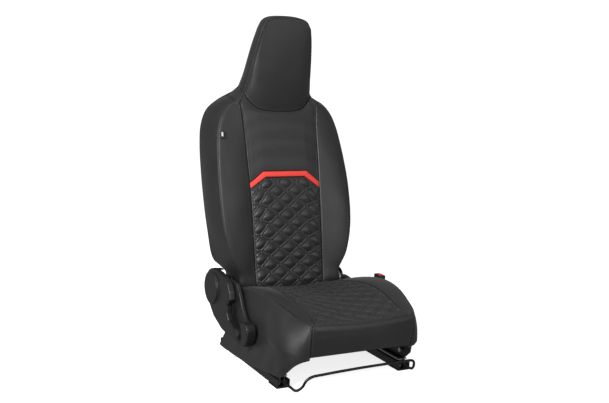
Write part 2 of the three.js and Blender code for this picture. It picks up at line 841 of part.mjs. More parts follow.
// Rebate along the lower edge of the quilted panel and of the two bolsters.
backFoam = backFoam.subtract(solid(block(-150, 150, PIVOT_Y - 2, PIVOT_Y + 2, PIVOT_Z - 50, PIVOT_Z - 38)));
backFoam = backFoam.subtract(panelRoom(headPad, backNormal));
for (const [x, y, z] of [[0, 0, 0], [0.3, 0.4, -0.4], [-0.3, 0.4, -0.4]])
  backFoam = backFoam.subtract(solid(coverPanel(headPad, backNormal)).translate([x, y, z]));
add("back_foam", largest(backFoam), "foam");
for (const [name, [rows, finish]] of Object.entries(backSkins)) {
  let skin = solid(coverPanel(rows, backNormal));
  if (name.startsWith("back_side")) {
    const sign = name.endsWith("left") ? -1 : 1;
    skin = skin.subtract(plateSlot(sign));
    skin = skin.subtract(solid(crossRod(-200, 200, PIVOT_Y, PIVOT_Z, 9)));
  }
  add(name, largest(skin), finish);
}
for (const [side, sign] of sides) {
  let plate = solid(onSide(sign, sidePlate(plateOutline, 186.4, 189.2)));
  for (const [z, radius] of [[340, 12], [440, 12]])
    plate = plate.subtract(solid(onSide(sign, crossRod(184, 192, backY(z, 74), z, radius))));
  plate = plate.subtract(solid(onSide(sign, crossRod(184, 192, PIVOT_Y, PIVOT_Z, 6.5))));
  add(`back_plate_${side}`, plate, "blackSteel");
}
add("back_tube", rod(tubePath, 10, 44, 8), "blackSteel");
add("back_cross_tube", crossRod(-186.4, 186.4, backY(290, 74), 290, 9), "blackSteel");
for (let k = 0; k < 2; k++) {
  const points = [];
  for (let i = 0; i <= 10; i++) {
    const z = 400 + k * 110 + (i % 2 ? 16 : -16);
    points.push(V(-160 + i * 32, backY(z, 58), z));
  }
  add(`back_spring_${k + 1}`, rod(points, 1.8, 30, 4), "zinc");
}
const tagRow = Math.round(BACK_ROWS * 0.8);
const tagAt = ridge[tagRow].clone().lerp(panelEdge[tagRow], 0.12);
const tag = new THREE.BoxGeometry(14, 1.2, 24);
tag.rotateX(-0.23).rotateZ(-0.5).translate(tagAt.x - 2, tagAt.y - 12, tagAt.z + 10);
add("label_tag", tag, "tag");

// ------------------------------------------------------ recliner and shields
const shieldOutline = [
  ...arc(PIVOT_Y, PIVOT_Z, 62, -62, 96, 16),
  [380, 254],
  [340, 248],
  [306, 234],
  [288, 212],
  [282, 188],
  [306, 165],
  [303, 140],
  [290, 122],
  [268, 113],
  [240, 108],
  [222, 97],
  [220, 83],
  [240, 74],
  [290, 74],
  [345, 80],
  [410, 104],
];
let shield = solid(sidePlate(shieldOutline, -259, -232, 5));
shield = shield.subtract(solid(block(-239, -225, 100, 560, 40, 300)));
shield = shield.subtract(solid(sidePlate(inset(shieldOutline, 4), -255, -235)));
shield = shield.add(solid(crossRod(-266, -258, PIVOT_Y, PIVOT_Z, 52, 32)));
const rim = [
  ...arc(PIVOT_Y, PIVOT_Z, 61, -60, 100, 14),
  ...reversed(arc(PIVOT_Y, PIVOT_Z, 57.5, -60, 100, 14)),
];
shield = shield.add(solid(sidePlate(rim, -242, -224)));
add("shield_left", shield, "plastic");

const rightOutline = loop(
  [
    [458, 180],
    [448, 195],
    [424, 199],
    [392, 195],
    [362, 180],
    [346, 156],
    [360, 120],
    [404, 112],
    [446, 138],
  ],
  28,
);
let shieldRight = solid(sidePlate(rightOutline, 219, 243, 5));
shieldRight = shieldRight.subtract(solid(sidePlate(inset(rightOutline, 3.5), 215, 239)));
add("shield_right", shieldRight, "plastic");

const leverOutline = [
  ...arc(PIVOT_Y, PIVOT_Z, 34, -110, 110, 12),
  [382, 232],
  [326, 240],
  [287, 237],
  [262, 212],
  [236, 172],
  [212, 147],
  [186, 139],
  [182, 116],
  [202, 106],
  [242, 122],
  [276, 160],
  [316, 176],
  [380, 160],
];
let lever = solid(sidePlate(leverOutline, -236.4, -224, 2));
const paddle = loop(
  [
    [202, 138],
    [160, 141],
    [150, 119],
    [158, 88],
    [182, 70],
    [193, 78],
    [192, 108],
  ],
  20,
);
lever = lever.add(solid(sidePlate(paddle, -258, -226, 4)));
add("recline_lever", lever, "plastic");
add("recliner_rod", crossRod(-223.7, 207, PIVOT_Y, PIVOT_Z, 5.5), "zinc");

// --------------------------------------------------------- slide release bar
const barPath = [
  V(-206, 120, BAR_Z),
  V(-206, 60, BAR_Z),
  V(-206, -10, BAR_Z),
  V(-204, -34, BAR_Z - 1),
  V(-196, -54, 11),
  V(-184, -66, 22),
  V(-174, -74, 44),
  V(-160, -76, 53),
  V(-120, -76, 56),
  V(0, -76, 60),
  V(130, -76, 61),
  V(176, -74, 60),
  V(190, -68, 52),
  V(198, -58, 34),
  V(204, -40, 20),
  V(206, -14, BAR_Z),
  V(206, 60, BAR_Z),
  V(206, 120, BAR_Z),
];
add("slide_release_bar", rod(barPath, 4, 66, 6), "blackSteel");
for (const [side, sign] of sides) {
  const x = sign * RAIL_X;
  add(`slide_latch_${side}`, block(x - 4.5, x + 4.5, 40, 84, 6.2, 12.6), "zinc");
}

// ------------------------------------------------------------------- buckle
const BUCKLE = V(256, 240, 211);
const strap = [
  [372, 78],
  [366, 92],
  [348, 92],
  [262, 186],
  [248, 190],
  [226, 190],
  [226, 180],
  [248, 174],
  [344, 70],
  [362, 66],
];
let stalk = solid(sidePlate(strap, 250, 253));
stalk = stalk.subtract(solid(crossRod(247, 256, 358, 79, 5.6)));
add("buckle_stalk", stalk, "blackSteel");
const housing = new THREE.BoxGeometry(20, 38, 60);
housing.translate(BUCKLE.x, BUCKLE.y, BUCKLE.z);
const opening = new THREE.BoxGeometry(13, 26, 40);
opening.translate(0, 0, 22).translate(BUCKLE.x, BUCKLE.y, BUCKLE.z);
const strapRoom = block(249.4, 253.6, 210, 270, 160, 193);
let housingSolid = solid(housing).subtract(solid(opening)).subtract(solid(strapRoom));
add("buckle_housing", housingSolid, "plastic");
const button = new THREE.BoxGeometry(12, 16, 22);
button.translate(0, -4.5, 21.4).translate(BUCKLE.x, BUCKLE.y, BUCKLE.z);
add("buckle_button", button, "red");
add("buckle_bolt", crossRod(246, 259, 358, 79, 5), "zinc");

export default seat;
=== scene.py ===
"""Looks of the front seat: sewn leatherette covers, quilting, trim, metalwork, studio and camera."""

import json
import math

import bpy
import numpy as np
from mathutils import Matrix, Vector
from mathutils.kdtree import KDTree


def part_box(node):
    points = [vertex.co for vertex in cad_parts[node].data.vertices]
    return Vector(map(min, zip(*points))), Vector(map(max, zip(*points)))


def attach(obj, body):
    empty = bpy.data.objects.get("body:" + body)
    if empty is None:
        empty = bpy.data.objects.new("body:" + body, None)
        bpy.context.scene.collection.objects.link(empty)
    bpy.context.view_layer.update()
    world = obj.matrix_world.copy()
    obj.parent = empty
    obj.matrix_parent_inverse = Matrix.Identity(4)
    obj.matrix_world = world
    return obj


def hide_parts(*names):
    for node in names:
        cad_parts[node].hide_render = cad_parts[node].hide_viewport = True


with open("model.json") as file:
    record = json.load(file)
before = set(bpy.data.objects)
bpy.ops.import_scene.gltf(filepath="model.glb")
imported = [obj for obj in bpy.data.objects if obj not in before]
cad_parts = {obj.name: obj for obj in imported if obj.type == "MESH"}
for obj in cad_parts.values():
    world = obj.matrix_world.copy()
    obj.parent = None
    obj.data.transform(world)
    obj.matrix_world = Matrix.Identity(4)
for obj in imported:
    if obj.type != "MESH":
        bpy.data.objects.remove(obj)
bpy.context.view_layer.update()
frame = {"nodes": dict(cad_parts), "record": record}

# Covers are written in millimetres with y counted from the rails' front ends.
MM = 0.001
RAIL_FRONT_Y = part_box("lower_rail_left")[0].y
PIVOT_Y = 424.0
PIVOT_Z = 194.0
ROLL_R = 42.0
STRIP_LOW = 505.0
STRIP_HIGH = 524.0
CROWN_Z = 1058.0

COVER_THICKNESS = 2.6
STITCH_LINE = 8.0  # distance of a topstitch from its seam
DIAMOND_WIDTH = 70.0
DIAMOND_HEIGHT = 52.0
RIDGE_HALF = 4.0  # half the width of the ridge between two quilted cells
CELL_RISE = 6.5  # distance from its ridge over which a quilted cell rises
THREAD_SINK = 1.3  # how deep the stitches beside a ridge are drawn in
THREAD_SPREAD = 0.9  # half the width of the crease that they make
THREAD_MARGIN = 9  # the quilting threads stop this far from the panel's edges
HEM_BAND = 20.0  # height of the sewn band along the skirt's hem
SEAM_REACH = 4.6  # how far from a seam the cover is drawn down
SEAM_DEPTH = 3.2  # how far it is drawn down at the seam itself
SEAM_MATCH = 7.0  # edges of panels closer than this meet in one seam
WAVE_COUNT = 7

FLOOR_RADIUS = 4.5
COVE_RADIUS = 2.0
WALL_TOP = 8.0


def back_y(z, off=0.0):
    """Depth of the backrest's plane at height z, plus an offset towards the rear."""
    return 383 + 0.234 * (z - 204) + off


# ---------------------------------------------------------------- curves
def through(points, start=0.0, end=1.0):
    """Smooth line through a few points, as a function of the fraction of its length."""
    p = np.array(points, float)
    p = np.vstack([2 * p[0] - p[1], p, 2 * p[-1] - p[-2]])
    dense = []
    for i in range(len(p) - 3):
        a, b, c, d = p[i : i + 4]
        k0, k1, k2 = (max(np.linalg.norm(y - x) ** 0.5, 1e-4) for x, y in ((a, b), (b, c), (c, d)))
        m1 = ((b - a) / k0 - (c - a) / (k0 + k1) + (c - b) / k1) * k1
        m2 = ((c - b) / k1 - (d - b) / (k1 + k2) + (d - c) / k2) * k1
        t = np.linspace(0, 1, 33)[:, None]
        if i < len(p) - 4:
            t = t[:-1]
        cubic = (2 * b - 2 * c + m1 + m2) * t**3 + (3 * c - 3 * b - 2 * m1 - m2) * t**2
        dense.append(cubic + m1 * t + b)
    dense = np.vstack(dense)
    run = np.concatenate([[0], np.cumsum(np.linalg.norm(np.diff(dense, axis=0), axis=1))])
    run /= run[-1]

    def line(t):
        s = start + (end - start) * np.asarray(t, float)
        return np.stack([np.interp(s, run, dense[:, k]) for k in range(3)], -1)

    return line


def joined(*runs):
    """Lines end to end; each run is (line, share of the whole)."""
    total = sum(share for _, share in runs)
    ends = np.cumsum([share / total for _, share in runs])

    def line(t):
        t = np.atleast_1d(np.asarray(t, float))
        out = np.zeros((len(t), 3))
        begin = 0.0
        for (run, _), end in zip(runs, ends):
            here = (t >= begin - 1e-9) & (t <= end + 1e-9)
            out[here] = run(np.clip((t[here] - begin) / (end - begin), 0, 1))
            begin = end
        return out

    return line


def legs(points, shares):
    """Straight legs, each with its share of the parameter."""
    p = np.array(points, float)
    stops = np.concatenate([[0], np.cumsum(shares) / sum(shares)])
    return lambda t: np.stack([np.interp(t, stops, p[:, k]) for k in range(3)], -1)


def turned(line):
    return lambda t: line(1 - np.asarray(t, float))


def across(line):
    """The same line on the other side of the seat."""
    return lambda t: line(t) * np.array([-1.0, 1.0, 1.0])


def end_of(line, t):
    return line(np.array([float(t)]))[0]


def fraction_at_height(line, z):
    t = np.linspace(0.2, 1, 2000)
    return float(np.interp(z, line(t)[:, 2], t))


# ---------------------------------------------------------------- patches
NEAR_EDGE = [0, 0.8, 1.8, 3, 4.2, 5.5, 7, 8, 9, 10.5, 13, 17, 22]


def stations(length, step):
    """Fractions across a panel: close together near both edges, then one step apart."""
    near = [s for s in NEAR_EDGE if s < length / 2 - 0.4]
    first, last = near[-1], length - near[-1]
    count = max(1, round((last - first) / step))
    middle = np.linspace(first, last, count + 1)[1:-1]
    return np.concatenate([near, middle, [length - s for s in reversed(near)]]) / length


def length_of(line):
    p = line(np.linspace(0, 1, 200))
    return float(np.linalg.norm(np.diff(p, axis=0), axis=1).sum())


def patch(bottom, top, left, right, us, vs, fade=1.0):
    """Surface between four lines, sampled at the fractions us across and vs up."""
    u = us[None, :, None]
    v = vs[:, None, None]
    b, t = bottom(us)[None], top(us)[None]
    le, ri = left(vs)[:, None], right(vs)[:, None]
    flat = b * (1 - v) + t * v
    lean_left = le - (b[:, :1] * (1 - v) + t[:, :1] * v)
    lean_right = ri - (b[:, -1:] * (1 - v) + t[:, -1:] * v)
    return flat + lean_left * (1 - u) ** fade + lean_right * u**fade


def grid_normals(p):
    du = np.gradient(p, axis=1)
    dv = np.gradient(p, axis=0)
    n = np.cross(du, dv)
    return n / np.maximum(np.linalg.norm(n, axis=-1, keepdims=True), 1e-9)


def dome(t, power=0.6):
    return (4 * t * (1 - t)).clip(0) ** power


def pad(amount, power=0.6):
    return lambda u, v: amount * dome(u, power) * dome(v, power)


def smooth(t, low, high):
    t = np.clip((t - low) / (high - low), 0, 1)
    return t * t * (3 - 2 * t)


PANELS = []


def panel(name, body, nodes, slot, bottom, top, left, right, swell, step=6.0, fade=1.0, relief=None,
          seams=(1, 1, 1, 1), mirror=False, skirt=None):
    """One sewn cover panel. seams: how deep each edge is drawn in (bottom, top, left, right)."""
    us = stations((length_of(bottom) + length_of(top)) / 2, step)
    vs = stations((length_of(left) + length_of(right)) / 2, step)
    p = patch(bottom, top, left, right, us, vs, fade)
    u, v = us[None, :], vs[:, None]
    p = p + grid_normals(p) * swell(u, v)[..., None]
    if skirt:
        vs_low = stations((length_of(skirt[2]) + length_of(skirt[3])) / 2, step)
        vs_low = np.append(vs_low[vs_low < 0.92], 1)
        low = patch(*skirt, us, vs_low)
        keep = vs[(vs == 0) | (vs > 0.06)]
        p = np.vstack([low[:-1], p[(vs == 0) | (vs > 0.06)]])
        vs = np.concatenate([vs_low[:-1] - 1, keep])
    if mirror:
        p = p[:, ::-1] * np.array([-1.0, 1.0, 1.0])
        us = 1 - us[::-1]
        seams = (seams[0], seams[1], seams[3], seams[2])
    PANELS.append(dict(name=name, body=body, nodes=nodes, slot=slot, p=p, us=us, vs=vs, relief=relief,
                       seams=seams, mirror=mirror))


def both(name, body, slot, *edges, **facts):
    """The same panel on the left and on the right."""
    for side, mirror in (("left", False), ("right", True)):
        panel(f"{name}_{side}_cover", body, [f"{name}_{side}"], slot, *edges, mirror=mirror, **facts)


# ---------------------------------------------------------------- quilting
def quilt_height(s, t, puff, ridge):
    """Diamond quilting with a double row of stitches: a puffed cell and a thin ridge between cells."""
    tilt = math.hypot(1 / DIAMOND_WIDTH, 1 / DIAMOND_HEIGHT)
    distances = []
    for sign in (1, -1):
        phase = s / DIAMOND_WIDTH + sign * t / DIAMOND_HEIGHT
        distances.append(np.abs(phase - np.round(phase)) / tilt)
    rise = [1 - np.exp(-np.maximum(d - RIDGE_HALF, 0) / CELL_RISE) for d in distances]
    thin = [np.clip(1 - (d / RIDGE_HALF) ** 2, 0, 1) ** 0.55 for d in distances]
    dent = [np.exp(-((d - RIDGE_HALF) / THREAD_SPREAD) ** 2) for d in distances]
    cell = rise[0] * rise[1]
    crossing = [np.clip((distances[1 - k] - 1.2) / 2.4, 0.2, 1) for k in (0, 1)]
    strip = np.maximum(thin[0] * crossing[0], thin[1] * crossing[1])
    groove = np.maximum(dent[0], dent[1])
    return puff * cell + ridge * strip - THREAD_SINK * groove


def quilt_relief(puff, ridge, low_fade=0.0):
    """Quilting that fades out at the panel's edges, and by low_fade towards its lower end."""

    def relief(p, s, t, e, v):
        kept = 1 - low_fade * (1 - smooth(v, 0, 0.25))
        return quilt_height(s, t, puff, ridge) * smooth(e, 3, 14) * kept

    return relief


def waves(p, size, amount, seed):
    """Gentle unevenness of stretched leatherette: a few long sine waves."""
    rng = np.random.RandomState(seed)
    out = np.zeros(p.shape[:2])
    for _ in range(WAVE_COUNT):
        k = rng.normal(size=3)
        k *= 2 * math.pi / (size * rng.uniform(0.6, 1.6)) / np.linalg.norm(k)
        out += np.sin(p @ k + rng.uniform(0, 6.28))
    return amount * out / WAVE_COUNT**0.5


# ---------------------------------------------------------------- cushion covers
insert_edge = through([
    (-160, -80, 206), (-152, -52, 209), (-149, -5, 220), (-154, 60, 233),
    (-156, 120, 238), (-149, 200, 233), (-136, 290, 216), (-124, 360, 197),
])
front_seam = through([(-160, -80, 206), (0, -84, 199.5), (160, -80, 206)])
rear_seam = through([(-124, 360, 197), (0, 362, 191), (124, 360, 197)])


def cushion_half(seam_points, waist_points, hem_points):
    """Lines of one side of the cushion, written for the left."""
    seam, waist, hem = through(seam_points), through(waist_points), through(hem_points)
    s0, s1 = end_of(seam, 0), end_of(seam, 1)
    w0, w1 = end_of(waist, 0), end_of(waist, 1)
    return dict(
        seam=seam,
        waist=waist,
        hem=hem,
        front_turn=through([s0, end_of(insert_edge, 0)]),
        rear_turn=through([s1, end_of(insert_edge, 1)]),
        front_corner=through([w0, (-169, -83, 150), (-169, -84, 180), s0]),
        rear_corner=through([w1, s1]),
        skirt=(turned(hem), turned(waist), through([end_of(hem, 1), w1]), through([end_of(hem, 0), w0])),
    )


left = cushion_half(
    [
        (-168, -80, 206), (-180, -47, 208), (-189, 10, 218), (-203, 80, 234), (-211, 140, 242),
        (-214, 200, 240), (-213, 270, 228), (-211, 330, 211), (-210, 360, 197),
    ],
    [
        (-166, -76, 108), (-196, -67, 110), (-221, -40, 113), (-231, -5, 115), (-230, 40, 117),
        (-222, 95, 119), (-216, 150, 120), (-214, 220, 120), (-213, 300, 120), (-212, 360, 120),
    ],
    [
        (-167, -76, 101), (-189, -71, 96), (-207, -56, 81), (-217, -36, 59), (-224, -12, 38),
        (-230, 50, 31), (-232, 150, 19), (-232, 250, 8), (-232, 330, 5), (-231, 418, 5),
    ],
)
right = cushion_half(
    [
        (-168, -80, 206), (-190, -47, 209), (-210, 10, 219), (-225, 80, 236), (-230, 140, 243),
        (-228, 200, 241), (-222, 270, 228), (-214, 330, 211), (-210, 360, 197),
    ],
    [
        (-166, -76, 108), (-195, -68, 110), (-216, -42, 113), (-226, -5, 115), (-231, 50, 117),
        (-232, 120, 119), (-230, 200, 120), (-222, 290, 120), (-212, 360, 120),
    ],
    [
        (-167, -76, 101), (-198, -56, 99), (-214, -20, 93), (-225, 40, 74), (-231, 110, 48),
        (-232, 200, 22), (-232, 300, 7), (-231, 418, 5),
    ],
)


def bulge(start, amount):
    def height(u, v):
        ahead = smooth(u, start, 0.95)
        return (3 + amount * np.sin(ahead * np.pi)) * dome(u) * dome(v)

    return height


def side_relief(p, s, t, e, v):
    """Pull folds of the loose skirt, and the sewn band along its hem."""
    loose = smooth(-v, -0.05, 0.6) * smooth(e, 0, 25)
    pull = np.sin(p[..., 1] / 17 + p[..., 2] / 26) * np.exp(-((p[..., 1] + 20) / 60) ** 2)
    band = -0.9 * np.exp(-((t - HEM_BAND) / 1.8) ** 2)
    return loose * (1.1 * pull + waves(p, 90, 0.8, 5)) + band + waves(p, 160, 0.5, 6)


def plain_relief(size, amount, seed):
    return lambda p, s, t, e, v: waves(p, size, amount, seed) * smooth(e, 4, 30)


def front_relief(p, s, t, e, v):
    """A long shallow fold under the front edge, deepest at the two ends."""
    ends = 0.35 + 0.65 * smooth(np.abs(p[..., 0]), 60, 150)
    fold = np.exp(-((v - 0.8) / 0.05) ** 2) - 0.8 * np.exp(-((v - 0.69) / 0.07) ** 2)
    return (1.3 * fold * ends + waves(p, 120, 0.6, 9)) * smooth(e, 3, 25)


SEAT = "seat_base"
panel("cushion_insert_cover", SEAT, ["cushion_insert"], "cover", front_seam, rear_seam, insert_edge,
      across(insert_edge), pad(3), step=2.4, fade=2, relief=quilt_relief(5.5, 2.8))
for side, half, mirror in (("left", left, False), ("right", right, True)):
    panel(f"cushion_bolster_{side}_cover", SEAT, [f"cushion_bolster_{side}"], "cover", half["front_turn"],
          half["rear_turn"], half["seam"], insert_edge, pad(5), step=6, mirror=mirror,
          relief=plain_relief(110, 0.35, 3))
    panel(f"cushion_side_{side}_cover", SEAT, [f"cushion_side_{side}"], "cover", turned(half["waist"]),
          turned(half["seam"]), half["rear_corner"], half["front_corner"],
          bulge(0.1 if mirror else 0.5, 9 if mirror else 11), step=6, mirror=mirror, relief=side_relief,
          skirt=half["skirt"], seams=(0.3, 1, 0.5, 1))
front_hem = through([end_of(left["waist"], 0), (0, -78, 110), end_of(right["waist"], 0) * (-1, 1, 1)])
front_top = joined((left["front_turn"], 3), (front_seam, 8), (turned(across(right["front_turn"])), 3))
panel("cushion_front_cover", SEAT, ["cushion_front"], "cover", front_hem, front_top, left["front_corner"],
      across(right["front_corner"]), pad(4), step=6, relief=front_relief, seams=(0.5, 1, 1, 1))


# ---------------------------------------------------------------- backrest covers
def roll_point(x, angle, radius):
    a = math.radians(angle)
    return (x, PIVOT_Y - radius * math.cos(a), PIVOT_Z - radius * math.sin(a))


panel_line = through([
    roll_point(-114, 90, ROLL_R), roll_point(-118, 45, ROLL_R), (-122, back_y(196, 1), 196),
    (-124, back_y(245), 245), (-125, back_y(340, -5), 340), (-126, back_y(440, -9), 440),
    (-127, back_y(515, -9), 515), (-131, back_y(610, -5), 610), (-134, back_y(705, -1), 705),
    (-139, back_y(762, 1), 762), (-141, back_y(778, 2), 778),
])
ridge = through([
    roll_point(-178, 90, ROLL_R), roll_point(-180, 45, ROLL_R + 1), (-182, back_y(196, -2), 196),
    (-184, back_y(235, -8), 235), (-194, back_y(256, -13), 256), (-209, back_y(284, -18), 284),
    (-220, back_y(320, -22), 320), (-230, back_y(370, -24), 370), (-235, back_y(430, -24), 430),
    (-236, back_y(520, -17), 520), (-232, back_y(590, -8), 590), (-226, back_y(650, 1), 650),
    (-217, back_y(700, 7), 700), (-202, back_y(738, 9), 738), (-180, back_y(766, 8), 766),
    (-151, back_y(783, 5), 783),
])
rear = through([
    (-178, 488, 188), (-178, back_y(236, 110), 236), (-203, back_y(250, 113), 250),
    (-220, back_y(262, 116), 262), (-228, back_y(285, 120), 285), (-235, back_y(360, 121), 360),
    (-240, back_y(440, 122), 440), (-244, back_y(540, 122), 540), (-245, back_y(640, 118), 640),
    (-240, back_y(700, 112), 700), (-221, back_y(750, 104), 750), (-187, back_y(781, 95), 781),
    (-156, back_y(798, 86), 798),
])
low = fraction_at_height(panel_line, STRIP_LOW)
high = fraction_at_height(panel_line, STRIP_HIGH)


def stretch(line, a, b):
    return lambda t: line(a + (b - a) * np.asarray(t, float))


panel_quilt = stretch(panel_line, 0, low)
panel_strip = stretch(panel_line, low, high)
panel_mesh = stretch(panel_line, high, 1)
panel_edge = joined((panel_quilt, 7), (panel_strip, 2), (panel_mesh, 6))
seam_corner = np.array([-123, 533, 812.0])
gusset_end = np.array([-115, 600, 828.0])
FLIP = np.array([-1.0, 1.0, 1.0])
neck_front = through([end_of(panel_edge, 1), seam_corner])
neck_rear = through([end_of(rear, 1), (-134, 606, 810), gusset_end])
head_front = through([seam_corner, (-112, 516, 862), (-104, 499, 925), (-96, 484, 980), (-85, 472, 1024)])
head_rear = through([gusset_end, (-100, 596, 870), (-91, 583, 920), (-84, 566, 970), (-74, 548, 1022)])


def crown(corner, y, z):
    lift = np.array([corner[0] * 0.8, (corner[1] + y) / 2, corner[2] + (z - corner[2]) * 0.72])
    return through([corner, lift, (0, y, z), lift * FLIP, corner * FLIP])


crown_front = crown(end_of(head_front, 1), 474, CROWN_Z)
crown_rear = crown(end_of(head_rear, 1), 540, CROWN_Z)
head_seam = through([
    seam_corner, (-111, 524, 790), (-93, 517, 770), (-70, 512, 758), (0, 509, 752),
    (70, 512, 758), (93, 517, 770), (111, 524, 790), seam_corner * FLIP,
])


def strip_edge(end, bend_x, bend_z):
    bend = np.array([-bend_x, back_y(bend_z, -13), bend_z])
    return legs([end, bend, bend * FLIP, end * FLIP], [2, 4, 2])


strip_low = strip_edge(end_of(panel_quilt, 1), 71, 542)
strip_high = strip_edge(end_of(panel_strip, 1), 79, 560.5)
quilt_foot = legs([roll_point(x, 90, ROLL_R) for x in (-114, -74, 74, 114)], [2, 4, 2])
bolster_foot = through([end_of(ridge, 0), end_of(panel_edge, 0)])
bolster_tip = through([end_of(ridge, 1), end_of(panel_edge, 1)])
side_foot = through([end_of(rear, 0), (-180, 455, 165), end_of(ridge, 0)])
side_top = through([end_of(rear, 1), (-156, 560, 794), end_of(ridge, 1)])
gusset_foot = through([gusset_end, (-124, 566, 821), seam_corner])
back_foot = through([end_of(rear, 0) * FLIP, end_of(rear, 0)])

BACK = "backrest"
panel("back_quilt_cover", BACK, ["back_quilt"], "cover", quilt_foot, strip_low, panel_quilt,
      across(panel_quilt), lambda u, v: 5 * dome(u) * dome(v) * np.minimum(1, v * 3), step=2.2,
      relief=quilt_relief(8.0, 3.4, low_fade=0.4))
panel("red_strip_cover", BACK, ["red_strip"], "red_trim", strip_low, strip_high, panel_strip,
      across(panel_strip), pad(5, 0.4), step=3, seams=(0.5, 0.5, 0.5, 0.5))
mesh_edge = joined((panel_mesh, 6), (neck_front, 2))
panel("back_mesh_cover", BACK, ["back_mesh"], "ribbed_cover", strip_high, head_seam, mesh_edge,
      across(mesh_edge), pad(5), step=5, relief=plain_relief(210, 0.25, 11))
panel("headrest_pad_cover", BACK, ["headrest_pad"], "cover", head_seam, crown_front, head_front,
      across(head_front), pad(11), step=5, relief=plain_relief(130, 0.5, 12))
both("back_bolster", BACK, "cover", bolster_foot, bolster_tip, ridge, panel_edge, swell=pad(8), step=6,
     relief=plain_relief(170, 0.6, 13), seams=(1, 1, 0.25, 1))
both("back_side", BACK, "cover", side_foot, side_top, rear, ridge,
     swell=lambda u, v: 6 * smooth(v, 0.22, 0.4) * dome(u) * dome(v), step=6,
     relief=plain_relief(150, 0.7, 14), seams=(1, 1, 1, 0.25))
both("neck", BACK, "ribbed_cover", joined((side_top, 3), (bolster_tip, 3)), gusset_foot, neck_rear,
     neck_front, swell=pad(1), step=4)
gusset_rear = joined((head_rear, 4), (crown_rear, 8), (turned(across(head_rear)), 4))
gusset_front = joined((head_front, 4), (crown_front, 8), (turned(across(head_front)), 4))
panel("headrest_gusset_cover", BACK, ["headrest_gusset"], "cover", gusset_foot, across(gusset_foot),
      gusset_rear, gusset_front, lambda u, v: 6 * dome(u) * dome(v), step=5,
      relief=plain_relief(90, 0.4, 15))
back_edge = joined((rear, 15), (neck_rear, 2), (head_rear, 4))
panel("back_panel_cover", BACK, ["back_panel"], "rear_cover", back_foot, turned(crown_rear),
      across(back_edge), back_edge, pad(12), step=8, relief=plain_relief(200, 0.8, 16))
side_left_foot = joined((side_foot, 3), (bolster_foot, 3))
panel("back_underside_cover", BACK, [], "rear_cover", turned(back_foot), quilt_foot, side_left_foot,
      across(side_left_foot), pad(0), step=10)


# ---------------------------------------------------------------- meshes
def mesh_object(name, vertices, faces, material, smooth_shading=True):
    mesh = bpy.data.meshes.new(name)
    v = np.asarray(vertices, float).reshape(-1, 3) * MM
    v[:, 1] += RAIL_FRONT_Y
    mesh.from_pydata(v.tolist(), [], faces)
    mesh.validate()
    mesh.update()
    mesh.materials.append(material)
    for polygon in mesh.polygons:
        polygon.use_smooth = smooth_shading
    obj = bpy.data.objects.new(name, mesh)
    bpy.context.scene.collection.objects.link(obj)
    return obj


def edge_marks():
    """All panels' edge points with their normals, to find what each seam joins."""
    points, normals, owners = [], [], []
    for k, q in enumerate(PANELS):
        n = grid_normals(q["p"])
        for rows in ((0, slice(None)), (-1, slice(None)), (slice(None), 0), (slice(None), -1)):
            points.append(q["p"][rows])
            normals.append(n[rows])
            owners.append(np.full(len(q["p"][rows]), k))
    points, normals, owners = np.vstack(points), np.vstack(normals), np.concatenate(owners)
    tree = KDTree(len(points))
    for i, p in enumerate(points):
        tree.insert(p, i)
    tree.balance()
    return tree, normals, owners


def seam_normals(p, n, marks):
    """Mean of the normals of all panels that meet at each edge point."""
    tree, normals, owners = marks
    out = np.zeros_like(n)
    for i, point in enumerate(p):
        best = {}
        for _, j, d in tree.find_range(point, SEAM_MATCH):
            if owners[j] not in best or d < best[owners[j]][0]:
                best[owners[j]] = (d, j)
        total = sum((normals[j] for _, j in best.values()), np.zeros(3))
        out[i] = total / max(np.linalg.norm(total), 1e-6)
    return out


def seam_profile(e):
    """Height of the cover at a distance from its seam: a rolled edge beside the groove, then stitches."""
    roll = 0.7 * np.exp(-((e - 4.4) / 2.0) ** 2)
    dent = -0.55 * np.exp(-((e - STITCH_LINE) / 1.1) ** 2)
    return roll + dent


def sew(q, marks):
    """Final surface of a panel: swell, relief, and its edges drawn down into the seams."""
    p = q["p"]
    n = grid_normals(p)
    along_u = np.cumsum(np.linalg.norm(np.diff(p, axis=1, prepend=p[:, :1]), axis=-1), axis=1)
    along_v = np.cumsum(np.linalg.norm(np.diff(p, axis=0, prepend=p[:1]), axis=-1), axis=0)
    gaps = [along_v, along_v[-1:] - along_v, along_u, along_u[:, -1:] - along_u]
    e = np.minimum.reduce(gaps)
    s = along_u - along_u[:, -1:] / 2
    t = along_v.mean(1, keepdims=True) + 0 * s
    v = q["vs"][:, None] + 0 * s
    height = q["relief"](p, s, t, e, v) if q["relief"] else np.zeros(e.shape)
    for gap, depth in zip(gaps, q["seams"]):
        if depth >= 0.5:
            height = height + seam_profile(gap) * depth * smooth(e, 0.5, 3)
    out = p + n * height[..., None]
    seam_n = [
        seam_normals(p[0], n[0], marks)[None],
        seam_normals(p[-1], n[-1], marks)[None],
        seam_normals(p[:, 0], n[:, 0], marks)[:, None],
        seam_normals(p[:, -1], n[:, -1], marks)[:, None],
    ]
    pull = np.zeros(e.shape)
    towards = np.zeros(p.shape)
    for gap, depth, sn in zip(gaps, q["seams"], seam_n):
        w = np.clip(1 - gap / SEAM_REACH, 0, 1) ** 2 * depth
        towards += w[..., None] * sn
        pull = np.maximum(pull, w)
    size = np.linalg.norm(towards, axis=-1, keepdims=True)
    out -= towards / np.maximum(size, 1e-6) * (pull * SEAM_DEPTH)[..., None]
    inner_n = n.copy()
    inner_n[0], inner_n[-1] = seam_n[0][0], seam_n[1][0]
    inner_n[:, 0], inner_n[:, -1] = seam_n[2][:, 0], seam_n[3][:, 0]
    q["surface"], q["normals"], q["e"], q["t"], q["s"] = out, n, e, t, s
    return out, out - inner_n * COVER_THICKNESS


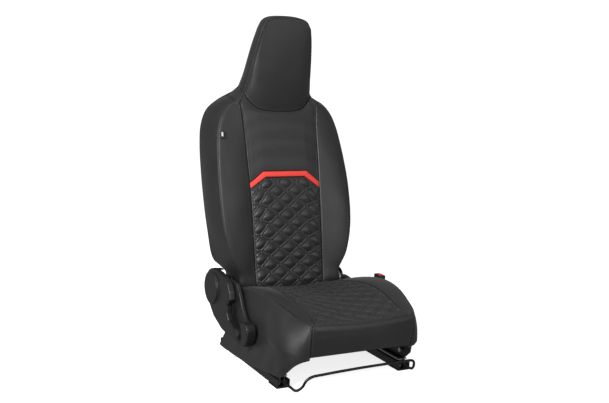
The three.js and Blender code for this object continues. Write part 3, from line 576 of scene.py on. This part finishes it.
def shell(outer, inner):
    """Closed thin body from two grids."""
    nv, nu = outer.shape[:2]
    index = np.arange(nv * nu).reshape(nv, nu)
    a, b, c, d = index[:-1, :-1], index[:-1, 1:], index[1:, 1:], index[1:, :-1]
    top = np.stack([a, b, c, d], -1).reshape(-1, 4)
    under = top[:, ::-1] + nv * nu
    rim = np.concatenate([index[0], index[1:, -1], index[-1, -2::-1], index[-2:0:-1, 0]])
    nxt = np.roll(rim, -1)
    wall = np.stack([rim, rim + nv * nu, nxt + nv * nu, nxt], -1)
    faces = np.vstack([top, under, wall]).tolist()
    return np.vstack([outer.reshape(-1, 3), inner.reshape(-1, 3)]), faces


# Rings along one stitch: share of its length, thickness and height, both as shares of the radius.
STITCH_RINGS = ((0, 0.45, -0.3), (0.3, 1, 0.35), (0.7, 1, 0.35), (1, 0.45, -0.3))


def stitches(name, line, normals, body, material, pitch=4.6, length=3.1, radius=0.42, lift=0.15):
    """Row of thread stitches along a line of points."""
    run = np.concatenate([[0], np.cumsum(np.linalg.norm(np.diff(line, axis=0), axis=1))])
    count = int((run[-1] - 6) / pitch)
    if count < 2:
        return None
    mids = 3 + pitch * (np.arange(count) + 0.5)

    def at(s, values):
        return np.stack([np.interp(s, run, values[:, k]) for k in range(3)], -1)

    up = at(mids, normals)
    up /= np.linalg.norm(up, axis=1, keepdims=True)
    a, b = at(mids - length / 2, line), at(mids + length / 2, line)
    way = b - a
    way /= np.maximum(np.linalg.norm(way, axis=1, keepdims=True), 1e-9)
    side = np.cross(up, way)
    vertices, faces = [], []
    for share, thick, height in STITCH_RINGS:
        centre = a + (b - a) * share + up * (lift + height * radius)
        for angle in (45, 135, 225, 315):
            c, s = math.cos(math.radians(angle)), math.sin(math.radians(angle))
            vertices.append(centre + (side * c + up * s) * radius * 1.3 * thick)
    vertices = np.stack(vertices, 1)
    for i in range(count):
        base = 16 * i
        for ring in range(3):
            for j in range(4):
                p, q = base + 4 * ring + j, base + 4 * ring + (j + 1) % 4
                faces.append([p, q, q + 4, p + 4])
        faces.append([base + 3, base + 2, base + 1, base])
        faces.append([base + 12, base + 13, base + 14, base + 15])
    obj = mesh_object(name, vertices, faces, material)
    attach(obj, body)
    return obj


def gather(name, parts, body):
    """Joins small pieces into one object."""
    parts = [p for p in parts if p]
    bpy.ops.object.select_all(action="DESELECT")
    for p in parts:
        p.select_set(True)
    bpy.context.view_layer.objects.active = parts[0]
    if len(parts) > 1:
        bpy.ops.object.join()
    obj = bpy.context.view_layer.objects.active
    obj.name = name
    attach(obj, body)
    return obj


def surface_at(q, u, v, values):
    """Point of a panel's grid at fractions u and v."""
    i = np.interp(u, q["us"], np.arange(len(q["us"])))
    j = np.interp(v, q["vs"], np.arange(len(q["vs"])))
    i0 = np.clip(i.astype(int), 0, len(q["us"]) - 2)
    j0 = np.clip(j.astype(int), 0, len(q["vs"]) - 2)
    fi, fj = (i - i0)[:, None], (j - j0)[:, None]
    low = values[j0, i0] * (1 - fi) + values[j0, i0 + 1] * fi
    up = values[j0 + 1, i0] * (1 - fi) + values[j0 + 1, i0 + 1] * fi
    return low * (1 - fj) + up * fj


def quilt_threads(q, material):
    """Thread along both edges of every ridge of a quilted panel."""
    parts = []
    length = float(q["t"][-1, 0])
    widths = q["s"][:, -1] - q["s"][:, 0]
    tilt = math.hypot(1 / DIAMOND_WIDTH, 1 / DIAMOND_HEIGHT)
    for sign in (1, -1):
        for k in range(-12, 13):
            for offset in (-RIDGE_HALF, RIDGE_HALF):
                t = np.arange(THREAD_MARGIN, length - THREAD_MARGIN, 1.2)
                phase = k + offset * tilt
                s = (phase - sign * t / DIAMOND_HEIGHT) * DIAMOND_WIDTH
                v = np.interp(t, q["t"][:, 0], q["vs"])
                half = np.interp(t, q["t"][:, 0], widths) / 2
                inside = np.abs(s) < half - THREAD_MARGIN
                if inside.sum() < 12:
                    continue
                t, s, v, half = t[inside], s[inside], v[inside], half[inside]
                i = 0.5 + s / (2 * half)
                u = np.interp(i, (q["s"][0] - q["s"][0, 0]) / widths[0], q["us"])
                line = surface_at(q, u, v, q["surface"])
                row = stitches(f"thread_{len(parts)}", line, surface_at(q, u, v, q["normals"]), q["body"],
                               material, pitch=4.2, length=2.8, radius=0.34)
                parts.append(row)
    return parts


# ---------------------------------------------------------------- materials
def new_material(name):
    m = bpy.data.materials.new(name)
    m.use_nodes = True
    nodes, links = m.node_tree.nodes, m.node_tree.links
    shader = nodes["Principled BSDF"]
    place = nodes.new("ShaderNodeTexCoord").outputs["Object"]
    return m, nodes, links, shader, place


def noise(nodes, links, place, scale, detail=3.0, rough=0.5):
    n = nodes.new("ShaderNodeTexNoise")
    n.inputs["Scale"].default_value = scale
    n.inputs["Detail"].default_value = detail
    n.inputs["Roughness"].default_value = rough
    links.new(place, n.inputs["Vector"])
    return n.outputs["Fac"]


def ramp(nodes, links, value, stops):
    r = nodes.new("ShaderNodeValToRGB")
    elements = r.color_ramp.elements
    while len(elements) < len(stops):
        elements.new(0.5)
    for element, (position, colour) in zip(elements, stops):
        element.position = position
        element.color = (*colour, 1)
    links.new(value, r.inputs["Fac"])
    return r.outputs["Color"]


def mapped(nodes, links, value, low, high, out_low, out_high):
    m = nodes.new("ShaderNodeMapRange")
    for key, number in zip(("From Min", "From Max", "To Min", "To Max"), (low, high, out_low, out_high)):
        m.inputs[key].default_value = number
    links.new(value, m.inputs["Value"])
    return m.outputs["Result"]


def bump(nodes, links, height, distance, strength=1.0, below=None):
    b = nodes.new("ShaderNodeBump")
    b.inputs["Distance"].default_value = distance
    b.inputs["Strength"].default_value = strength
    links.new(height, b.inputs["Height"])
    if below:
        links.new(below, b.inputs["Normal"])
    return b.outputs["Normal"]


def tint(colour, factor):
    return tuple(min(1, c * factor) for c in colour)


def edge_wear_and_highlight(nodes, links, colour, edge, amount):
    """Mixes a lighter colour in along convex creases: partly rubbed wear, partly a painted highlight on
    edges and ridges.
    """
    point = nodes.new("ShaderNodeNewGeometry").outputs["Pointiness"]
    mask = mapped(nodes, links, point, 0.52, 0.62, 0, amount)
    mix = nodes.new("ShaderNodeMix")
    mix.data_type = "RGBA"
    links.new(mask, mix.inputs[0])
    links.new(colour, mix.inputs[6])
    mix.inputs[7].default_value = (*edge, 1)
    return mix.outputs[2]


def leather(name, base, rough=0.46, ribs=0.0, grain=760.0, depth=0.00012):
    m, nodes, links, shader, place = new_material(name)
    patchy = noise(nodes, links, place, 9, 4)
    colour = ramp(nodes, links, patchy, [(0.3, tint(base, 0.86)), (0.7, tint(base, 1.14))])
    # Convex creases and quilt ridges made lighter: rubbed wear plus a painted highlight.
    colour = edge_wear_and_highlight(nodes, links, colour, tint(base, 1.7), 0.5)
    cells = nodes.new("ShaderNodeTexVoronoi")
    cells.feature = "DISTANCE_TO_EDGE"
    cells.inputs["Scale"].default_value = grain
    links.new(place, cells.inputs["Vector"])
    valley = mapped(nodes, links, cells.outputs["Distance"], 0, 0.22, 0, 1)
    normal = bump(nodes, links, valley, depth, 0.6)
    normal = bump(nodes, links, noise(nodes, links, place, 260, 3), 0.00018, 0.5, normal)
    if ribs:
        dots = nodes.new("ShaderNodeTexVoronoi")
        dots.inputs["Scale"].default_value = ribs
        dots.inputs["Randomness"].default_value = 0.0
        turn = nodes.new("ShaderNodeMapping")
        turn.inputs["Scale"].default_value = (1.0, 0.3, 1.35)
        links.new(place, turn.inputs["Vector"])
        links.new(turn.outputs["Vector"], dots.inputs["Vector"])
        holes = mapped(nodes, links, dots.outputs["Distance"], 0.18, 0.42, 0, 1)
        normal = bump(nodes, links, holes, 0.0007, 0.8, normal)
        # Colour darkened inside the perforation holes: the backing seen through them plus painted shade in
        # the holes.
        shade = nodes.new("ShaderNodeMix")
        shade.data_type = "RGBA"
        shade.blend_type = "MULTIPLY"
        shade.inputs[0].default_value = 1.0
        links.new(colour, shade.inputs[6])
        links.new(ramp(nodes, links, holes, [(0, (0.45,) * 3), (1, (1.0,) * 3)]), shade.inputs[7])
        colour = shade.outputs[2]
    links.new(colour, shader.inputs["Base Color"])
    links.new(normal, shader.inputs["Normal"])
    links.new(mapped(nodes, links, patchy, 0.3, 0.7, rough - 0.05, rough + 0.07), shader.inputs["Roughness"])
    shader.inputs["Sheen Weight"].default_value = 0.06
    shader.inputs["Sheen Roughness"].default_value = 0.4
    return m


def moulded(name, base, rough=0.42, grain=1400.0):
    """Textured moulded plastic."""
    m, nodes, links, shader, place = new_material(name)
    patchy = noise(nodes, links, place, 30, 3)
    colour = ramp(nodes, links, patchy, [(0.3, tint(base, 0.88)), (0.7, tint(base, 1.12))])
    # Convex edges made lighter: rubbed wear plus a painted highlight.
    links.new(edge_wear_and_highlight(nodes, links, colour, tint(base, 2.2), 0.5), shader.inputs["Base Color"])
    normal = bump(nodes, links, noise(nodes, links, place, grain, 2), 0.00008, 0.5)
    links.new(normal, shader.inputs["Normal"])
    links.new(mapped(nodes, links, patchy, 0.3, 0.7, rough - 0.05, rough + 0.06), shader.inputs["Roughness"])
    return m


def steel(name, base, rough=0.38, metallic=1.0, dirt=0.5):
    m, nodes, links, shader, place = new_material(name)
    patchy = noise(nodes, links, place, 45, 5, 0.6)
    colour = ramp(nodes, links, patchy, [(0.35, tint(base, 1 - dirt * 0.5)), (0.65, tint(base, 1.1))])
    # Convex edges made lighter: rubbed wear plus a painted highlight.
    links.new(edge_wear_and_highlight(nodes, links, colour, tint(base, 1.8), 0.6), shader.inputs["Base Color"])
    streak = nodes.new("ShaderNodeMapping")
    streak.inputs["Scale"].default_value = (900, 60, 900)
    links.new(place, streak.inputs["Vector"])
    drawn = noise(nodes, links, streak.outputs["Vector"], 1.0, 2)
    links.new(bump(nodes, links, drawn, 0.00005, 0.5), shader.inputs["Normal"])
    links.new(mapped(nodes, links, patchy, 0.3, 0.7, rough - 0.08, rough + 0.14), shader.inputs["Roughness"])
    shader.inputs["Metallic"].default_value = metallic
    return m


def foam_material():
    m, nodes, links, shader, place = new_material("foam_cells")
    patchy = noise(nodes, links, place, 20, 4)
    links.new(ramp(nodes, links, patchy, [(0.3, (0.007,) * 3), (0.7, (0.011,) * 3)]),
              shader.inputs["Base Color"])
    cells = nodes.new("ShaderNodeTexVoronoi")
    cells.inputs["Scale"].default_value = 420
    links.new(place, cells.inputs["Vector"])
    links.new(bump(nodes, links, cells.outputs["Distance"], 0.0012, 0.8), shader.inputs["Normal"])
    shader.inputs["Roughness"].default_value = 0.95
    return m


def woven(name, base, scale=900.0):
    m, nodes, links, shader, place = new_material(name)
    patchy = noise(nodes, links, place, 60, 3)
    colour = ramp(nodes, links, patchy, [(0.3, tint(base, 0.8)), (0.7, tint(base, 1.2))])
    weave = nodes.new("ShaderNodeTexWave")
    weave.inputs["Scale"].default_value = scale
    links.new(place, weave.inputs["Vector"])
    links.new(colour, shader.inputs["Base Color"])
    links.new(bump(nodes, links, weave.outputs["Fac"], 0.00025, 0.7), shader.inputs["Normal"])
    shader.inputs["Roughness"].default_value = 0.8
    return m


MATERIALS = {
    "cover": leather("charcoal_leatherette", (0.0150, 0.0150, 0.0155), 0.42),
    "ribbed_cover": leather("perforated_leatherette", (0.0185, 0.0185, 0.0190), 0.5, ribs=230.0),
    "rear_cover": leather("black_rear_fabric", (0.006, 0.006, 0.0065), 0.62),
    "red_trim": leather("red_leatherette", (0.72, 0.045, 0.032), 0.4),
    "foam": foam_material(),
    "trim_plastic": moulded("black_trim_plastic", (0.011, 0.011, 0.0115)),
    "red_plastic": moulded("red_button_plastic", (0.55, 0.02, 0.015), 0.3),
    "label": woven("woven_label", (0.02, 0.02, 0.022)),
    "black_steel": steel("black_coated_steel", (0.011, 0.011, 0.0115), 0.38, 0.35),
    "zinc_steel": steel("zinc_plated_steel", (0.32, 0.33, 0.34), 0.34, 1.0),
    "thread": woven("charcoal_thread", (0.06, 0.06, 0.062), 1500.0),
    "mark": woven("pale_mark", (0.62, 0.64, 0.66)),
}

# ---------------------------------------------------------------- sewn pieces
marks = edge_marks()
threads = {SEAT: [], BACK: []}
for q in PANELS:
    outer, inner = sew(q, marks)
    vertices, faces = shell(outer, inner)
    obj = mesh_object(q["name"], vertices, faces, MATERIALS[q["slot"]])
    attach(obj, q["body"])
    if q["nodes"]:
        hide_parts(*q["nodes"])
    q["object"] = obj


def panel_named(name):
    return next(q for q in PANELS if q["name"] == name)


def topstitch(name, edges):
    """Stitch rows beside the named edges of a panel: b(ottom), t(op), l(eft), r(ight)."""
    q = panel_named(name)
    for edge in edges:
        gap = {"b": lambda: q["t"][:, 0], "t": lambda: q["t"][-1, 0] - q["t"][:, 0],
               "l": lambda: q["s"][0] - q["s"][0, 0], "r": lambda: q["s"][0, -1] - q["s"][0]}[edge]()
        k = int(np.argmin(np.abs(gap - STITCH_LINE)))
        pick = (k, slice(8, -8)) if edge in "bt" else (slice(8, -8), k)
        row = stitches(f"row_{name}_{edge}", q["surface"][pick], q["normals"][pick], q["body"],
                       MATERIALS["thread"])
        threads[q["body"]].append(row)


for name, edges in (
    ("cushion_insert_cover", "b"), ("cushion_front_cover", "tlr"), ("cushion_bolster_left_cover", "lr"),
    ("cushion_bolster_right_cover", "lr"), ("cushion_side_left_cover", "tr"),
    ("cushion_side_right_cover", "tl"), ("back_mesh_cover", "lrt"), ("back_quilt_cover", "lr"),
    ("back_bolster_left_cover", "r"), ("back_bolster_right_cover", "l"), ("headrest_pad_cover", "blrt"),
    ("headrest_gusset_cover", "lr"), ("back_side_left_cover", "l"), ("back_side_right_cover", "r"),
):
    topstitch(name, edges)
for name in ("cushion_insert_cover", "back_quilt_cover"):
    threads[panel_named(name)["body"]] += quilt_threads(panel_named(name), MATERIALS["thread"])
gather("seat_stitches", threads[SEAT], SEAT)
gather("back_stitches", threads[BACK], BACK)


# ---------------------------------------------------------------- softened copies of CAD shapes
def copy_of(node, name, material):
    source = frame["nodes"][node]
    obj = bpy.data.objects.new(name, source.data.copy())
    bpy.context.scene.collection.objects.link(obj)
    obj.data.materials.clear()
    obj.data.materials.append(material)
    return obj


def softened(node, name, material, voxel, rounds, factor=0.5):
    """A moulded piece: the CAD solid with its facets and edges rounded off."""
    obj = copy_of(node, name, material)
    bpy.context.view_layer.objects.active = obj
    for kind, facts in (
        ("REMESH", dict(mode="VOXEL", voxel_size=voxel * MM, use_smooth_shade=True)),
        ("SMOOTH", dict(factor=factor, iterations=rounds)),
    ):
        modifier = obj.modifiers.new(kind.lower(), kind)
        for key, value in facts.items():
            setattr(modifier, key, value)
        bpy.ops.object.modifier_apply(modifier=modifier.name)
    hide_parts(node)
    return obj


for node, body in (("back_foam", BACK), ("cushion_foam", SEAT)):
    core = softened(node, f"{node}_core", MATERIALS["foam"], 7, 4)
    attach(core, body)
for node, body, slot, voxel, rounds in (
    ("shield_left", SEAT, "trim_plastic", 1.3, 7), ("shield_right", SEAT, "trim_plastic", 1.5, 6),
    ("recline_lever", "recline_lever", "trim_plastic", 1.2, 6),
    ("buckle_housing", "buckle", "trim_plastic", 0.8, 5),
    ("buckle_button", "buckle_button", "red_plastic", 0.6, 5),
):
    part = softened(node, f"{node}_moulding", MATERIALS[slot], voxel, rounds)
    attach(part, body)

# ---------------------------------------------------------------- release bar and label
def tube(points, radius, sides=14, step=4.0):
    """Round bar along a smooth path, with flat ends."""
    line = through(points)
    count = max(8, int(length_of(line) / step))
    p = line(np.linspace(0, 1, count))
    way = np.gradient(p, axis=0)
    way /= np.linalg.norm(way, axis=1, keepdims=True)
    side = np.cross(way[0], (0.3, 0.2, 0.9))
    vertices = []
    for k in range(count):
        side = side - way[k] * (side @ way[k])
        side /= np.linalg.norm(side)
        other = np.cross(way[k], side)
        for a in np.linspace(0, 2 * math.pi, sides, endpoint=False):
            vertices.append(p[k] + radius * (math.cos(a) * side + math.sin(a) * other))
    faces = []
    for k in range(count - 1):
        for j in range(sides):
            a, b = k * sides + j, k * sides + (j + 1) % sides
            faces.append([a, b, b + sides, a + sides])
    faces.append(list(range(sides))[::-1])
    faces.append([(count - 1) * sides + j for j in range(sides)])
    return np.array(vertices), faces


BAR = [
    (-206, 120, 17), (-206, 60, 17), (-206, -10, 17), (-204, -34, 16), (-196, -54, 11), (-184, -66, 22),
    (-174, -74, 44), (-160, -76, 53), (-120, -76, 56), (0, -76, 60), (130, -76, 61), (176, -74, 60),
    (190, -68, 52), (198, -58, 34), (204, -40, 20), (206, -14, 17), (206, 60, 17), (206, 120, 17),
]
bar = mesh_object("release_bar_tube", *tube(BAR, 4.0), MATERIALS["black_steel"])
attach(bar, "slide_bar")
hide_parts("slide_release_bar")


def label():
    """A slightly bowed woven label sewn into the ridge, with a plain pale mark."""
    low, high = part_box("label_tag")
    centre = (low + high) / 2 / MM
    centre = np.array([centre.x, centre.y - RAIL_FRONT_Y / MM, centre.z])
    face = np.array([math.sin(-0.5), -math.cos(-0.5), 0])
    wide = np.array([math.cos(-0.5), math.sin(-0.5), 0])
    tall = np.array([0, 0.2, 1.0]) / math.hypot(0.2, 1)

    def plate(name, width, height, thick, lift, material, bow):
        us, vs = np.linspace(-0.5, 0.5, 9), np.linspace(-0.5, 0.5, 13)
        u, v = np.meshgrid(us, vs)
        arch = bow * (1 - (2 * u) ** 2)
        grid = (centre + u[..., None] * wide * width + v[..., None] * tall * height
                + (arch + lift)[..., None] * face)
        vertices, faces = shell(grid, grid - face * thick)
        return mesh_object(name, vertices, faces, material)

    base = plate("label_tag_cloth", 13, 24, 1.0, 0.6, MATERIALS["label"], 1.0)
    mark = plate("label_tag_mark", 6.5, 13, 0.5, 1.2, MATERIALS["mark"], 0.8)
    for piece in (base, mark):
        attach(piece, BACK)
    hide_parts("label_tag")


label()

# ---------------------------------------------------------------- finishes of the CAD metalwork
for member in frame["record"]["subparts"]:
    node = frame["nodes"][member["node"]]
    node.data.materials.clear()
    node.data.materials.append(MATERIALS[member["material_slot"]])

# ---------------------------------------------------------------- studio
def backdrop():
    """Round pale floor that curves up into a wall on every side."""
    profile = [(r, 0.0) for r in (0.6, 1.6, 3.0, FLOOR_RADIUS)]
    for a in np.linspace(0.1, math.pi / 2, 12):
        profile.append((FLOOR_RADIUS + COVE_RADIUS * math.sin(a), COVE_RADIUS - COVE_RADIUS * math.cos(a)))
    profile.append((FLOOR_RADIUS + COVE_RADIUS, WALL_TOP))
    turns = 64
    vertices = [(0, 0, 0)]
    for r, z in profile:
        for a in np.linspace(0, 2 * math.pi, turns, endpoint=False):
            vertices.append((r * math.cos(a), r * math.sin(a), z))
    faces = [[0, 1 + k, 1 + (k + 1) % turns] for k in range(turns)]
    for ring in range(len(profile) - 1):
        low, high = 1 + ring * turns, 1 + (ring + 1) * turns
        faces += [[low + k, high + k, high + (k + 1) % turns, low + (k + 1) % turns] for k in range(turns)]
    mesh = bpy.data.meshes.new("studio_floor")
    mesh.from_pydata(vertices, [], faces)
    for polygon in mesh.polygons:
        polygon.use_smooth = True
    obj = bpy.data.objects.new("studio_floor", mesh)
    bpy.context.scene.collection.objects.link(obj)
    m, nodes, links, shader, place = new_material("studio_white")
    links.new(ramp(nodes, links, noise(nodes, links, place, 0.6), [(0.3, (0.86,) * 3), (0.7, (0.88,) * 3)]),
              shader.inputs["Base Color"])
    shader.inputs["Roughness"].default_value = 0.9
    shader.inputs["Emission Color"].default_value = (1, 1, 1, 1)
    shader.inputs["Emission Strength"].default_value = 0.8
    mesh.materials.append(m)
    obj.visible_diffuse = False
    obj.visible_glossy = False


def area_light(name, place, target, size, power):
    light = bpy.data.lights.new(name, "AREA")
    light.shape = "RECTANGLE"
    light.size, light.size_y = size
    light.energy = power
    obj = bpy.data.objects.new(name, light)
    obj.location = place
    obj.rotation_euler = (Vector(target) - Vector(place)).to_track_quat("-Z", "Y").to_euler()
    bpy.context.scene.collection.objects.link(obj)


def studio():
    backdrop()
    area_light("key", (-2.8, -1.8, 1.9), (0, 0, 0.6), (1.0, 1.0), 150)
    area_light("fill", (0.6, -3.2, 1.6), (0, 0, 0.5), (1.0, 1.4), 26)
    area_light("top", (-0.3, -0.3, 3.2), (0, 0, 0.5), (1.6, 1.6), 14)
    world = bpy.data.worlds.new("studio_air")
    world.use_nodes = True
    world.node_tree.nodes["Background"].inputs["Color"].default_value = (1, 1, 1, 1)
    world.node_tree.nodes["Background"].inputs["Strength"].default_value = 0.24
    bpy.context.scene.world = world
    bpy.context.scene.view_settings.view_transform = "Standard"


CAMERA_YAW = math.radians(28.3)
CAMERA_PITCH = math.radians(8.8)
CAMERA_ROLL = math.radians(2.54)
CAMERA_DISTANCE = 2.6
CAMERA_LENS = 51.37
CAMERA_TARGET = Vector((-0.0731, -0.0910, 0.5055))


def camera():
    data = bpy.data.cameras.new("camera")
    data.sensor_width = 36
    data.lens = CAMERA_LENS
    obj = bpy.data.objects.new("camera", data)
    out = math.cos(CAMERA_PITCH)
    back = Vector((-math.sin(CAMERA_YAW) * out, -math.cos(CAMERA_YAW) * out, math.sin(CAMERA_PITCH)))
    level = Vector((math.cos(CAMERA_YAW), -math.sin(CAMERA_YAW), 0))
    up = back.cross(level)
    right = level * math.cos(CAMERA_ROLL) + up * math.sin(CAMERA_ROLL)
    above = up * math.cos(CAMERA_ROLL) - level * math.sin(CAMERA_ROLL)
    turn = Matrix((right, above, back)).transposed().to_4x4()
    obj.matrix_world = Matrix.Translation(CAMERA_TARGET + back * CAMERA_DISTANCE) @ turn
    bpy.context.scene.collection.objects.link(obj)
    bpy.context.scene.camera = obj


studio()
camera()
